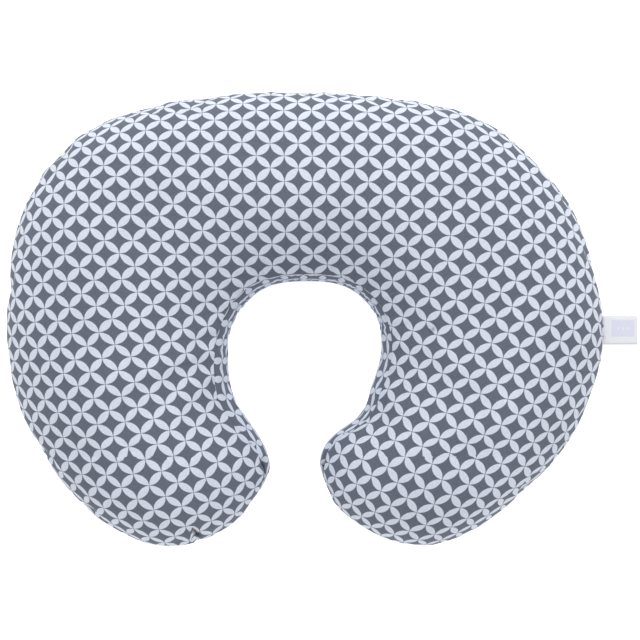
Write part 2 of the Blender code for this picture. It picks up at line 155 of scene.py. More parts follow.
STRIP_LEAST = 0.0006  # the strip ends where half its height is less
# The strip's upper seam gapes by each tip: place and half length
SLITS = (((-0.0330, -0.1360), 0.0090), ((0.0130, -0.1335), 0.0065))
SLIT_GAP = 0.0017
SLIT_DEPTH = 0.0030
SLIT_SHADOW = 0.0022  # the shadow in it reaches this far to each side

# Local hollows of the top: plan place before the shift, half sizes, turn, depth
HOLLOWS = (
    ((0.1070, -0.0110), (0.0045, 0.0035), 20, 0.0028),
    ((-0.1380, 0.1300), (0.0700, 0.0050), 3, 0.0011),
    ((0.0200, 0.0850), (0.0450, 0.0140), -4, 0.0010),
    ((-0.1900, 0.0400), (0.0300, 0.0120), 60, 0.0012),
    ((0.1500, 0.0700), (0.0350, 0.0120), -50, 0.0011),
    ((-0.1250, -0.1050), (0.0280, 0.0110), 35, 0.0012),
    ((0.1300, -0.1100), (0.0300, 0.0120), -30, 0.0012),
    ((0.2050, -0.0600), (0.0110, 0.0280), 10, 0.0010),
    ((-0.0965, -0.1900), (0.0024, 0.0075), 12, 0.0060),
    ((-0.1020, -0.1880), (0.0020, 0.0065), -20, -0.0022),
)

# --- Woven label, in metres from its seam and its lower edge ---

LABEL_BLOCK_AT = (0.0180, 0.0145)
LABEL_BLOCK_HALF = (0.0100, 0.0071)
LABEL_BLUR = 0.0006
LABEL_LEAF_PITCH = 0.0042
LABEL_LEAF_SPREAD = 0.0011
LABEL_LEAF_RADIUS = 0.0019
LABEL_LAYER = 0.0005  # thickness of the tape
LABEL_THIN = (0.35, 0.0012)  # its two long edges are thinner: share, width
LABEL_WAIST = (0.45, 0.0040, 0.0009)  # the stitched line: share, place, width
LABEL_WAVE = 0.00022
LABEL_BACK = 0.05  # offset of the back's print from the front's

# Shadows inside the deepest folds of the top: place, half sizes, turn, strength
FOLD_SHADOWS = (
    ((-0.0948, -0.1905), (0.0010, 0.0034), 12, 2.0),
    ((0.1085, -0.0105), (0.0020, 0.0010), 20, 1.2),
)

# --- Zip: the CAD's lean, radius and length, then the teeth and the stitches beside it ---

ZIP_LEAN = math.radians(18)
ZIP_RADIUS = BACK_RADIUS - 0.0036
COIL_HALF_ANGLE = math.radians(12.0)
TOOTH_PITCH = 0.00125
STITCH_HALF_ANGLE = math.radians(12.6)
STITCH_PITCH = 0.00325
STITCH_HALF = 0.0011
STITCH_LIFT = 0.0004
STITCH_SEARCH = 0.0100
STITCH_MARGIN = 0.0028
THREAD_RADIUS = 0.00022
COIL_OUT = (-0.00185, 0.00078)  # middle and half size of the spiral, out of the cloth
COIL_UP = (0.00135, 0.00105)  # and along the tape's width
COIL_WIRE = 0.00026

# --- Studio sizes ---

CAMERA_HEIGHT = 1.60
CAMERA_PLACE = (-0.0030, -0.0016)
FRAME_WIDTH = 0.572  # width of the view at the height of the outer seam
SENSOR = 36.0
FLOOR_SIZE = 12.0
FLOOR_DROP = 0.0005
KEY_POWER = 18
FILL_POWER = 8
AIR = 0.52

# --- Geometry of the C ---


def smoothstep(low, high, value):
    t = np.clip((np.asarray(value, float) - low) / (high - low), 0, 1)
    return t * t * (3 - 2 * t)


def joined(*columns):
    return np.concatenate(columns, axis=1)


def spline(points, closed, samples):
    """Points along a C2 cubic spline, samples of them between each pair."""
    p = np.array(points, float)
    count = len(p)
    spans = count if closed else count - 1
    ahead = np.roll(p, -1, axis=0)
    h = norm(ahead - p, axis=1)
    slope = (ahead - p) / h[:, None]
    a = np.zeros((count, count))
    b = np.zeros((count, 2))
    for i in range(count):
        if closed or 0 < i < count - 1:
            a[i, i - 1] += h[i]
            a[i, i] += 2 * (h[i - 1] + h[i])
            a[i, (i + 1) % count] += h[i - 1]
            b[i] = 3 * (h[i] * slope[i - 1] + h[i - 1] * slope[i])
    if not closed:
        a[0, 0], a[0, 1], b[0] = 2, 1, 3 * slope[0]
        a[-1, -1], a[-1, -2], b[-1] = 2, 1, 3 * slope[-2]
    m = np.linalg.solve(a, b)
    out = []
    for i in range(spans):
        j = (i + 1) % count
        for k in range(samples):
            t = k / samples
            out.append(
                p[i] * (1 + 2 * t) * (1 - t) ** 2
                + m[i] * h[i] * t * (1 - t) ** 2
                + p[j] * t * t * (3 - 2 * t)
                + m[j] * h[i] * t * t * (t - 1)
            )
    if not closed:
        out.append(p[-1])
    return np.array(out)


def arc_point(angle):
    return BACK_CENTRE + BACK_RADIUS * np.array((math.sin(angle), math.cos(angle)))


class Body:
    """Rays in a closed loop: outer side left to right, right tip, inner side, left tip."""

    def __init__(self, finer):
        steps = 6
        back = [arc_point(BACK_HALF_ANGLE * (2 * i / steps - 1)) for i in range(steps + 1)]
        points = [*back, *RIGHT_SIDE, *RIGHT_TIP, *INNER_CURVE, *LEFT_TIP, *LEFT_SIDE]
        line = spline(points, True, 40)
        line = np.vstack((line, line[:1]))
        along = np.concatenate(([0], np.cumsum(norm(np.diff(line, axis=0), axis=1))))
        self.total = along[-1]
        self.line, self.along = line, along
        pairs = []
        for outer, inner in SECTIONS:
            s_outer = self.place_of(outer)
            if s_outer > self.total / 2:
                s_outer -= self.total
            pairs.append((s_outer, self.place_of(inner)))
        match = spline(pairs, False, 24)
        spine_count = SPINE_STEPS * finer + 1
        tip_count = TIP_STEPS * finer
        outer = np.linspace(pairs[0][0], pairs[-1][0], spine_count)
        inner = np.interp(outer, match[:, 0], match[:, 1])
        right = np.linspace(outer[-1], inner[-1], tip_count + 1)[1:-1]
        left = np.linspace(inner[0], outer[0] + self.total, tip_count + 1)[1:-1]
        last = spine_count - 1
        self.spine_count = spine_count
        self.spine_of = np.concatenate((
            np.arange(spine_count), np.full(len(right), last),
            np.arange(spine_count)[::-1], np.zeros(len(left), int),
        ))
        self.place = np.concatenate((outer, right, inner[::-1], left))
        spine = (self.point_at(outer) + self.point_at(inner)) / 2
        self.rim = self.point_at(self.place)
        self.centre = spine[self.spine_of]
        arm = self.rim - self.centre
        self.reach = norm(arm, axis=1)
        self.way = arm / self.reach[:, None]
        bend = np.abs(self.spine_of / (last / 2) - 1) ** 4
        self.crown = CROWN_BACK - (CROWN_BACK - CROWN_TIP) * bend
        self.count = len(self.place)
        x, y = (self.rim - BACK_CENTRE).T
        self.back_angle = np.where(np.arange(self.count) < spine_count, np.arctan2(x, y), 9)
        self.rise, self.bulge = self.gusset_shape()

    def place_of(self, point):
        return self.along[np.argmin(norm(self.line - np.array(point), axis=1))]

    def point_at(self, s):
        s = np.mod(s, self.total)
        return np.stack([np.interp(s, self.along, self.line[:, k]) for k in (0, 1)], axis=-1)

    def gusset_shape(self):
        """Half the gusset's height and how far its seams stand out, at each station."""
        start, end = self.place_of(GUSSET_RIGHT_END), self.place_of(GUSSET_LEFT_END)
        length = end - start
        s = np.mod(self.place, self.total) - start
        inside = (s > 0) & (s < length)
        ramp = np.clip(np.minimum(s, length - s) / GUSSET_TAPER, 0, 1)
        taper = np.sin(math.pi / 2 * ramp)
        share = np.clip(s / length, 0, 1)
        side = GUSSET_RISE_RIGHT
        side = side + (GUSSET_RISE_LEFT - side) * smoothstep(0.35, 0.65, share)
        back = np.sin(math.pi * share) ** 6
        rise = taper * (side - (side - GUSSET_RISE_BACK) * back)
        return np.where(inside, rise, 0), np.where(inside, GUSSET_BULGE * back, 0)

    def elevation(self, rise):
        """Elevation angle of a height above or below the widest line."""
        return np.arcsin(rise / np.where(rise > 0, self.crown, DEPTH))

    def seam_drop(self):
        angle = np.abs(self.back_angle)
        return ZIP_DROP * (1 - smoothstep(ZIP_DROP_START, ZIP_DROP_END, angle))

    def seam_lift(self):
        away = norm(self.rim - np.array(SEAM_LIFT_AT), axis=1) / SEAM_LIFT_LENGTH
        return SEAM_LIFT * np.exp(-(away**2))

    def slits(self):
        """1 where a slit gapes and 0 away from it."""
        away = [norm(self.rim - np.array(p), axis=1) / length for p, length in SLITS]
        return np.exp(-(np.min(away, axis=0) ** 4))

    def slot_half(self):
        angle = np.abs(self.back_angle)
        return ZIP_SLOT * (1 - smoothstep(ZIP_SLOT_START, ZIP_SLOT_END, angle))

    def stand_out(self, elevation):
        """How far the corners at the gusset's seams push the cover out of the ellipse."""
        height = np.where(elevation > 0, self.crown[:, None], DEPTH)
        seam = np.arcsin(np.maximum(self.rise, 1e-6)[:, None] / height)
        angle = np.abs(elevation)
        below = (np.minimum(angle, seam) / seam) ** 2
        return self.bulge[:, None] * below * np.exp(np.minimum(seam - angle, 0) / BULGE_FADE)

    def point(self, elevation):
        """Surface points for an array of elevations of shape (stations, rows)."""
        height = np.where(elevation > 0, self.crown[:, None], DEPTH)
        out = self.reach[:, None] * np.cos(elevation) + self.stand_out(elevation)
        plan = self.centre[:, None] + self.way[:, None] * out[..., None]
        z = MID_HEIGHT + height * np.sin(elevation)
        eased = FLOOR_EASE * np.exp(np.minimum(z / FLOOR_EASE - 1, 0))
        z = np.where(z < FLOOR_EASE, eased, z)
        return np.concatenate((plan + PLAN_SHIFT, z[..., None]), axis=-1)


def section_rows(body, upper, rows):
    """Elevations from the panel's edge to the spine, crowded towards the edge."""
    half = (body.rise + body.slot_half()) * (1 if upper else -1)
    if upper:
        half = half + SLIT_GAP * body.slits()
    edge = body.elevation(half - body.seam_drop() + body.seam_lift())
    pole = math.pi / 2 if upper else -math.pi / 2
    share = (np.arange(rows + 1) / rows) ** ROW_CROWDING
    return edge[:, None] + (pole - edge[:, None]) * share


def refine(grid, factor, across):
    """Catmull-Rom refinement of a (stations, rows) grid, closed along the stations."""
    values = grid
    for axis in (1, 0):
        count = values.shape[axis]
        if axis == 0:
            ghost = [np.roll(values, k, axis=0) for k in (1, 0, -1, -2)]
        else:
            before = 2 * values[:, :1] - values[:, 1:2]
            after = across(values)
            padded = joined(before, values, after)
            ghost = [padded[:, k: k + count - 1] for k in range(4)]
        fine = []
        for step in range(factor):
            t = step / factor
            w = (
                0.5 * (-t + 2 * t * t - t**3), 0.5 * (2 - 5 * t * t + 3 * t**3),
                0.5 * (t + 4 * t * t - 3 * t**3), 0.5 * (-t * t + t**3),
            )
            fine.append(sum(k * g for k, g in zip(w, ghost)))
        stacked = np.stack(fine, axis=axis + 1)
        shape = list(values.shape)
        shape[axis] = stacked.shape[axis] * factor
        values = stacked.reshape(shape) if axis == 0 else np.concatenate(
            (stacked.reshape(shape), values[:, -1:]), axis=1
        )
    return values


def across_spine(body, finer=1):
    """Gives the row past the spine: the opposite ray's last but one, or, where the rays
    fan out at a tip, the ray carried straight on."""
    k = body.spine_count
    tips = TIP_STEPS * finer - 1
    opposite = np.arange(body.count)
    opposite[:k] = (2 * k + tips - 1) - np.arange(k)
    opposite[k + tips: 2 * k + tips] = np.arange(k)[::-1]
    fan = np.concatenate((np.arange(k, k + tips), np.arange(2 * k + tips, body.count)))

    def row(values):
        past = values[opposite][:, -2:-1]
        past[fan] = 2 * values[fan, -1:] - values[fan, -2:-1]
        return past

    return row


def grid_faces(body, rows):
    """Quads from the edge to the spine, whose vertices are shared by opposite rays."""
    count = body.count
    ring = np.arange(count)
    nxt = np.roll(ring, -1)
    quads = []
    for j in range(rows - 1):
        quads.append(np.stack((ring + j * count, nxt + j * count,
                               nxt + (j + 1) * count, ring + (j + 1) * count), axis=1))
    faces = [tuple(map(int, q)) for q in np.concatenate(quads)]
    base = rows * count
    top = (rows - 1) * count
    for i in range(count):
        a, b = int(body.spine_of[i]), int(body.spine_of[nxt[i]])
        last = (top + i, int(top + nxt[i]))
        faces.append((*last, base + a) if a == b else (*last, base + b, base + a))
    return faces


def flat_vertices(body, grid):
    """Vertices in face order: all rows but the spine's, then the spine once."""
    rows = grid.shape[1] - 1
    ring = np.concatenate([grid[:, j] for j in range(rows)])
    spine = grid[: body.spine_count, -1]
    return np.concatenate((ring, spine))


def unflatten(body, values, rows):
    """The grid whose vertices flat_vertices lists."""
    grid = np.zeros((body.count, rows + 1, values.shape[1]))
    for j in range(rows):
        grid[:, j] = values[j * body.count: (j + 1) * body.count]
    grid[:, -1] = values[rows * body.count + body.spine_of]
    return grid


# --- Print coordinates ---


def lay_flat(body, verts, faces):
    """Flat cloth coordinates of a curved panel, true to length as nearly as they can be.

    Each triangle is tipped level and turned by the grain, and the flat places are those
    whose differences fit the triangles' edges best."""
    tris = []
    for f in faces:
        tris.append(f[:3])
        if len(f) == 4:
            tris.append((f[0], f[2], f[3]))
    tris = np.array(tris)
    p = verts[tris]
    normal = np.cross(p[:, 1] - p[:, 0], p[:, 2] - p[:, 0])
    area = norm(normal, axis=1)
    normal /= area[:, None]
    side = 1 if np.sum(normal[:, 2] * area) > 0 else -1
    up = np.array((0, 0, side))
    axis = np.cross(normal, up)
    cos = normal @ up
    last = body.spine_count - 1
    ring = np.tile(body.spine_of, (len(verts) - last - 1) // body.count)
    along = np.concatenate((ring, np.arange(last + 1)))[tris].mean(1) / last
    turn_up = np.radians(np.interp(along, GRAIN_AT, GRAIN_UP))
    turn_across = np.radians(np.interp(along, GRAIN_AT, GRAIN_ACROSS))
    count = len(verts)
    system = np.zeros((count, count))
    right = np.zeros((count, 2))
    for a, b, o in ((0, 1, 2), (1, 2, 0), (2, 0, 1)):
        edge = p[:, b] - p[:, a]
        level = edge * cos[:, None] + np.cross(axis, edge)
        level += axis * (np.sum(axis * edge, axis=1) / (1 + cos))[:, None]
        flat = np.stack((
            np.cos(turn_up) * level[:, 0] + np.sin(turn_up) * level[:, 1],
            np.cos(turn_across) * level[:, 1] - np.sin(turn_across) * level[:, 0],
        ), axis=1)
        to_a, to_b = p[:, a] - p[:, o], p[:, b] - p[:, o]
        weight = np.clip(np.sum(to_a * to_b, axis=1) / area, 0.05, 8)
        i, j = tris[:, a], tris[:, b]
        for row, column, sign in ((i, i, 1), (j, j, 1), (i, j, -1), (j, i, -1)):
            np.add.at(system, (row, column), sign * weight)
        np.add.at(right, j, weight[:, None] * flat)
        np.add.at(right, i, -weight[:, None] * flat)
    system[0, 0] += 1
    place = np.linalg.solve(system, right)
    anchor = np.array(PRINT_ANCHOR) + PLAN_SHIFT
    near = np.argmin(norm(verts[:, :2] - anchor, axis=1))
    return place - place[near] + (verts[near, :2] - anchor)


def print_grid(upper):
    """Cloth coordinates on the fine grid of a panel, solved on the coarse one."""
    body = Body(1)
    levels = section_rows(body, upper, ROW_STEPS)
    grid = body.point(levels)
    verts = flat_vertices(body, grid)
    place = lay_flat(body, verts, grid_faces(body, ROW_STEPS))
    return refine(unflatten(body, place, ROW_STEPS), FINE, across_spine(body))


# --- Stuffed cloth ---


def strip_grid(body, steps):
    """The gusset's grid, from its lower seam to its upper one, for every station."""
    share = np.arange(steps + 1) / steps
    top, bottom = body.elevation(body.rise), body.elevation(-body.rise)
    return body.point(bottom[:, None] + (top - bottom)[:, None] * share)


def flat_strip(grid):
    return grid.transpose(1, 0, 2).reshape(-1, 3)


def strip_faces(body, steps):
    ring = np.arange(body.count)
    nxt = np.roll(ring, -1)
    faces = []
    for j in range(steps):
        low, high = j * body.count, (j + 1) * body.count
        faces += zip(ring + low, ring + high, nxt + high, nxt + low)
    return [tuple(map(int, f)) for f in faces]


def linked(name, data):
    """A new object in the scene."""
    piece = bpy.data.objects.new(name, data)
    bpy.context.scene.collection.objects.link(piece)
    return piece


def normals_out(mesh):
    bm = bmesh.new()
    bm.from_mesh(mesh)
    bmesh.ops.recalc_face_normals(bm, faces=bm.faces)
    bm.to_mesh(mesh)
    bm.free()


def weld(verts, reach):
    """For each vertex the first one that lies within reach of it."""
    tree = kdtree.KDTree(len(verts))
    for i, v in enumerate(verts):
        tree.insert(v, i)
    tree.balance()
    same = np.arange(len(verts))
    for i, v in enumerate(verts):
        same[i] = same[min(k for _, k, _ in tree.find_range(v, reach))]
    return same


def blown_up(body, parts, faces):
    """Moves of each part's vertices when the sewn cover is blown up as cloth."""
    verts = np.concatenate(parts)
    same = weld(verts, WELD_REACH)
    kept, new = np.unique(same, return_inverse=True)
    welded = verts[kept]
    sewn = []
    offset = 0
    for part, own in zip(parts, faces):
        for f in own:
            ring = []
            for i in f:
                k = int(new[i + offset])
                if k not in ring:
                    ring.append(k)
            if len(ring) > 2:
                sewn.append(tuple(ring))
        offset += len(part)
    mesh = bpy.data.meshes.new("sewn_cover")
    mesh.from_pydata([tuple(map(float, v)) for v in welded], [], sewn)
    mesh.update()
    normals_out(mesh)
    cover = linked("sewn_cover", mesh)

    slot = body.slot_half() > SLOT_LEAST
    seam = np.zeros(len(verts))
    pin = np.zeros(len(verts))
    starts = (0, len(parts[0]), len(parts[0]) + len(parts[1]))
    for start in (starts[0], starts[2]):
        seam[start: start + body.count] = 1
        seam[start + body.count: start + 2 * body.count] = 0.7
        pin[start: start + body.count] = slot
    strip = parts[1].reshape(-1, body.count, 3)
    seam_strip = np.zeros(strip.shape[:2])
    seam_strip[0], seam_strip[-1] = 1, 1
    seam[starts[1]: starts[2]] = seam_strip.ravel()
    gather = cover.vertex_groups.new(name="gather")
    held = cover.vertex_groups.new(name="held")
    for k in np.flatnonzero(seam):
        gather.add([int(new[k])], float(seam[k]), "REPLACE")
    low = verts[:, 2] < HELD_BELOW
    for k in np.flatnonzero((pin > 0) | low):
        held.add([int(new[k])], 1.0, "REPLACE")

    cloth = cover.modifiers.new("stuffing", "CLOTH")
    settings = cloth.settings
    for key, value in STUFFING.items():
        setattr(settings, key, value)
    settings.vertex_group_shrink = "gather"
    settings.vertex_group_mass = "held"
    settings.effector_weights.gravity = 0
    cloth.collision_settings.use_collision = False
    cloth.point_cache.frame_start = 1
    cloth.point_cache.frame_end = FRAMES
    scene = bpy.context.scene
    for frame_number in range(1, FRAMES + 1):
        scene.frame_set(frame_number)
    shown = cover.evaluated_get(bpy.context.evaluated_depsgraph_get())
    after = np.zeros(len(welded) * 3)
    shown.data.vertices.foreach_get("co", after)
    move = after.reshape(-1, 3) - welded
    edges = np.zeros(len(mesh.edges) * 2, int)
    mesh.edges.foreach_get("vertices", edges)
    a, b = edges.reshape(-1, 2).T
    bpy.data.objects.remove(cover)
    scene.frame_set(1)

    # keep the wrinkles and leave out the general swelling
    count = len(welded)
    share = np.bincount(a, minlength=count) + np.bincount(b, minlength=count)
    share = np.maximum(share, 1)  # points that no face uses have no neighbours
    smooth = move.copy()
    for _ in range(SMOOTH_ROUNDS):
        near = np.stack([
            np.bincount(a, smooth[b, k], count) + np.bincount(b, smooth[a, k], count)
            for k in range(3)
        ], axis=1) / share[:, None]
        smooth = 0.5 * smooth + 0.5 * near
    move = (move - smooth)[new]
    bounds = np.cumsum([len(p) for p in parts])[:-1]
    return np.split(move, bounds)


def wrinkles():
    """Moves on the fine grids of the top, the strip and the bottom."""
    body = Body(SIM_FINE)
    rows, steps = ROW_STEPS * SIM_FINE, STRIP_STEPS * SIM_FINE
    grids = [body.point(section_rows(body, upper, rows)) for upper in (True, False)]
    strip = strip_grid(body, steps)
    panel = grid_faces(body, rows)
    parts = [flat_vertices(body, grids[0]), flat_strip(strip), flat_vertices(body, grids[1])]
    moves = blown_up(body, parts, [panel, strip_faces(body, steps), panel])
    top, bottom = (unflatten(body, m, rows) for m in (moves[0], moves[2]))
    middle = moves[1].reshape(steps + 1, body.count, 3).transpose(1, 0, 2)
    finer = FINE // SIM_FINE
    across = across_spine(body, SIM_FINE)
    return (
        refine(top, finer, across),
        refine(middle, finer, lambda v: 2 * v[:, -1:] - v[:, -2:-1]),
        refine(bottom, finer, across),
    )


def inward_of(body, grid):
    """Unit vectors towards the middle of the section."""
    middle = np.full((body.count, 1), MID_HEIGHT)
    centre = joined(body.centre + PLAN_SHIFT, middle)
    inward = centre[:, None] - grid
    return inward / norm(inward, axis=2)[..., None]


def limited(move, inward, max_out):
    """Moves capped to what the layers below leave room for."""
    depth = np.sum(move * inward, axis=2)
    slip = (move - inward * depth[..., None]) * SLIP
    kept = np.where(depth > 0, MAX_IN * np.tanh(depth / MAX_IN), max_out * np.tanh(depth / max_out))
    return slip + inward * kept[..., None]


def seam_depth(body):
    """Depth of the groove at each station's seam: shallow at the zip and at the gusset's
    corners, deep at the slits."""
    open_share = body.slot_half() / ZIP_SLOT
    corner_share = body.bulge / GUSSET_BULGE
    shallow = 1 - 0.6 * open_share - 0.7 * corner_share
    return SEAM_DEPTH * shallow + SLIT_DEPTH * body.slits()


def spots(grid, table):
    """Sum of the table's soft elliptical spots at each point of the top."""
    plan = grid[..., :2] - PLAN_SHIFT
    total = np.zeros(grid.shape[:2])
    for place, size, turn, peak in table:
        c, s = math.cos(math.radians(turn)), math.sin(math.radians(turn))
        x, y = plan[..., 0] - place[0], plan[..., 1] - place[1]
        along, across = (c * x + s * y) / size[0], (c * y - s * x) / size[1]
        total += peak * np.exp(-(along**2 + across**2))
    return total


def slit_shadow(body, distance):
    return body.slits()[:, None] * np.exp(-((distance / SLIT_SHADOW) ** 4))


def shaped(body, grid, distance, move, upper, max_out=MAX_OUT):
    inward = inward_of(body, grid)
    depth = seam_depth(body)[:, None] * np.exp(-distance / SEAM_WIDTH)
    if upper:
        depth = depth + spots(grid, HOLLOWS)
    fade = 1 - np.exp(-((distance / SEAM_WIDTH) ** 2))
    held = body.slot_half()[:, None] > SLOT_LEAST
    move = np.where(held[..., None], move * fade[..., None], move)
    out = grid + limited(move, inward, max_out) + inward * depth[..., None]
    out[..., 2] = np.maximum(out[..., 2], 0)
    return out


# --- Node materials ---


def colour(srgb):
    values = [v / 255 for v in srgb]
    linear = [v / 12.92 if v <= 0.04045 else ((v + 0.055) / 1.055) ** 2.4 for v in values]
    return (*linear, 1)


class Nodes:
    """Short spelling for building a shader graph."""

    def __init__(self, name):
        self.material = bpy.data.materials.new(name)
        self.material.use_nodes = True
        self.tree = self.material.node_tree
        self.shader = self.tree.nodes["Principled BSDF"]

    def put(self, target, value):
        if hasattr(value, "links"):
            self.tree.links.new(value, target)
        else:
            target.default_value = value

    def add(self, kind, inputs=(), **settings):
        node = self.tree.nodes.new("ShaderNode" + kind)
        for key, value in settings.items():
            setattr(node, key, value)
        for key, value in dict(inputs).items():
            self.put(node.inputs[key], value)
        return node

    def math(self, operation, a, b=0.0, c=0.0):
        return self.add("Math", {0: a, 1: b, 2: c}, operation=operation).outputs[0]

    def times(self, a, b):
        return self.math("MULTIPLY", a, b)

    def plus(self, a, b):
        return self.math("ADD", a, b)

    def minus(self, a, b):
        return self.math("SUBTRACT", a, b)

    def multiply_add(self, a, b, c):
        return self.math("MULTIPLY_ADD", a, b, c)

    def length(self, x, y):
        squares = self.math("MULTIPLY_ADD", x, x, self.math("MULTIPLY", y, y))
        return self.math("SQRT", squares)

    def ramp(self, value, low, high, to_low=0.0, to_high=1.0):
        inputs = {"Value": value, "From Min": low, "From Max": high,
                  "To Min": to_low, "To Max": to_high}
        return self.add("MapRange", inputs, interpolation_type="SMOOTHSTEP").outputs[0]

    def mix(self, factor, a, b):
        node = self.add("Mix", {0: factor, 6: a, 7: b}, data_type="RGBA")
        return node.outputs[2]

    def scaled(self, where, factors):
        inputs = {0: where, 1: factors}
        return self.add("VectorMath", inputs, operation="MULTIPLY").outputs[0]

    def noise(self, where, scale, detail=2.0, roughness=0.5):
        inputs = {"Vector": where, "Scale": scale, "Detail": detail, "Roughness": roughness}
        return self.add("TexNoise", inputs).outputs[0]

    def waves(self, value, pitch):
        return self.math("SINE", self.math("MULTIPLY", value, 2 * math.pi / pitch))

    def xyz(self, where):
        return self.add("SeparateXYZ", {0: where}).outputs

    def place(self):
        return self.add("TexCoord").outputs["Object"]

    def cloth_uv(self):
        return self.add("UVMap", uv_map="cloth").outputs[0]

    def brightened(self, tone, factor):
        grey = self.add("CombineXYZ", {0: factor, 1: factor, 2: factor}).outputs[0]
        return self.scaled(tone, grey)

    def finish(self, tone, roughness, height=None, strength=0.3, distance=0.0003, **more):
        self.put(self.shader.inputs["Base Color"], tone)
        self.put(self.shader.inputs["Roughness"], roughness)
        for key, value in more.items():
            self.put(self.shader.inputs[key.replace("_", " ")], value)
        if height is not None:
            inputs = {"Height": height, "Strength": strength, "Distance": distance}
            bump = self.add("Bump", inputs)
            self.put(self.shader.inputs["Normal"], bump.outputs[0])
        return self.material


def leaf_mask(n, x, y):
    """1 on the leaves where neighbouring circles of the lattice overlap."""
    a, b = n.math("DIVIDE", x, REPEAT[0]), n.math("DIVIDE", y, REPEAT[1])
    u, v = n.plus(b, a), n.minus(b, a)
    qx = n.math("ABSOLUTE", n.minus(n.math("FRACT", u), 0.5))
    qy = n.math("ABSOLUTE", n.minus(n.math("FRACT", v), 0.5))
    own = n.length(qx, qy)
    by_x = n.length(n.minus(1.0, qx), qy)
    by_y = n.length(qx, n.minus(1.0, qy))
    return n.math("MAXIMUM", own, n.math("MINIMUM", by_x, by_y))


def printed_cotton():
    n = Nodes("printed_cotton")
    flat = n.cloth_uv()
    x, y, _ = n.xyz(flat)
    far = leaf_mask(n, x, y)
    ragged = n.multiply_add(n.noise(flat, 900.0, 2.0), 0.030, -0.015)
    leaf = n.ramp(n.plus(far, ragged), CIRCLE + 0.014, CIRCLE - 0.014)
    threads = n.times(n.waves(x, 0.0006), n.waves(y, 0.0006))
    slub = n.noise(n.scaled(flat, (1500, 330, 1)), 1.0, 3.0)
    slub_across = n.noise(n.scaled(flat, (330, 1500, 1)), 1.0, 3.0)
    grain = n.times(n.plus(slub, slub_across), 0.5)
    thin = n.ramp(grain, 0.36, 0.64)
    ground = n.mix(thin, colour(GROUND_DARK), colour(GROUND_LIGHT))
    ink = n.mix(thin, colour(LEAF_DARK), colour(LEAF_LIGHT))
    tone = n.noise(n.place(), 11.0, 3.0)
    light = n.multiply_add(tone, 0.16, 0.92)
    light = n.minus(light, 0.10)
    light = n.multiply_add(n.noise(flat, 1100.0, 2.0, 0.7), 0.20, light)
    shadow = n.add("Attribute", attribute_name="fold_shadow").outputs["Fac"]
    light = n.times(light, n.multiply_add(shadow, -0.94, 1.0))
    cloth = n.brightened(n.mix(leaf, ground, ink), light)
    height = n.multiply_add(threads, 0.25, grain)
    height = n.multiply_add(leaf, 0.15, height)
    rough = n.multiply_add(leaf, -0.06, n.multiply_add(grain, 0.10, 0.83))
    return n.finish(cloth, rough, height, 0.30, 0.0003, Sheen_Weight=0.10,
                    Sheen_Roughness=0.5, Specular_IOR_Level=0.22)


def label_satin():
    n = Nodes("label_satin")
    x, y, _ = n.xyz(n.cloth_uv())
    # a plain woven block with three leaves in a row
    across = n.math("ABSOLUTE", n.minus(x, LABEL_BLOCK_AT[0]))
    up = n.math("ABSOLUTE", n.minus(y, LABEL_BLOCK_AT[1]))
    wide, high = LABEL_BLOCK_HALF
    block = n.times(n.ramp(across, wide + LABEL_BLUR, wide),
                   n.ramp(up, high + LABEL_BLUR, high))
    leaf_x = n.math("WRAP", n.minus(x, LABEL_BLOCK_AT[0]),
                    LABEL_LEAF_PITCH / 2, -LABEL_LEAF_PITCH / 2)
    leaf_y = n.minus(y, LABEL_BLOCK_AT[1])
    one = n.length(n.plus(leaf_x, LABEL_LEAF_SPREAD), leaf_y)
    two = n.length(n.minus(leaf_x, LABEL_LEAF_SPREAD), leaf_y)
    leaf = n.times(n.ramp(n.math("MAXIMUM", one, two), LABEL_LEAF_RADIUS + 0.0001,
                                     LABEL_LEAF_RADIUS - 0.0001),
                  n.ramp(across, LABEL_LEAF_PITCH * 1.5, LABEL_LEAF_PITCH * 1.45))
    motif = n.minus(block, n.times(leaf, 0.8))
    hem = n.math("MAXIMUM", n.ramp(y, 0.0008, 0.0004), n.ramp(y, 0.0247, 0.0251))
    ribs = n.waves(n.plus(x, y), 0.00045)
    warp = n.noise(n.scaled(n.cloth_uv(), (300, 2600, 1)), 1.0, 2.0)
    base = n.mix(warp, colour((246, 248, 254)), colour((252, 253, 255)))
    tone = n.mix(n.times(motif, 0.9), base, colour((234, 236, 254)))
    tone = n.mix(n.times(hem, 0.35), tone, colour((196, 202, 206)))
    height = n.multiply_add(motif, 0.6, n.multiply_add(ribs, 0.2, warp))
    return n.finish(tone, n.multiply_add(motif, 0.2, 0.42), height, 0.25, 0.0002,
                    Sheen_Weight=0.15, Specular_IOR_Level=0.4)


def woven(name, dark, light, pitch, roughness):
    """Plain cloth or tape without UVs: threads along two directions, slubs and tone."""
    n = Nodes(name)
    place = n.place()
    x, y, z = n.xyz(place)
    warp, weft = (n.waves(n.plus(side, z), pitch) for side in (x, y))
    threads = n.times(warp, weft)
    slub = n.noise(place, 900.0, 3.0)
    tone = n.noise(place, 18.0, 2.0)
    cloth = n.mix(slub, colour(dark), colour(light))
    cloth = n.brightened(cloth, n.multiply_add(tone, 0.14, 0.93))
    height = n.multiply_add(threads, 0.5, slub)
    return n.finish(cloth, n.multiply_add(slub, 0.1, roughness), height,
                    Specular_IOR_Level=0.25)


def fibre():
    n = Nodes("polyester_fibre")
    place = n.place()
    strands = n.noise(n.scaled(place, (1, 1, 3)), 260.0, 6.0, 0.75)
    clumps = n.noise(place, 40.0, 3.0)
    tone = n.mix(clumps, colour((226, 227, 229)), colour((244, 245, 247)))
    height = n.multiply_add(clumps, 2.0, strands)
    return n.finish(tone, n.multiply_add(strands, 0.1, 0.88), height, 0.8, 0.002)


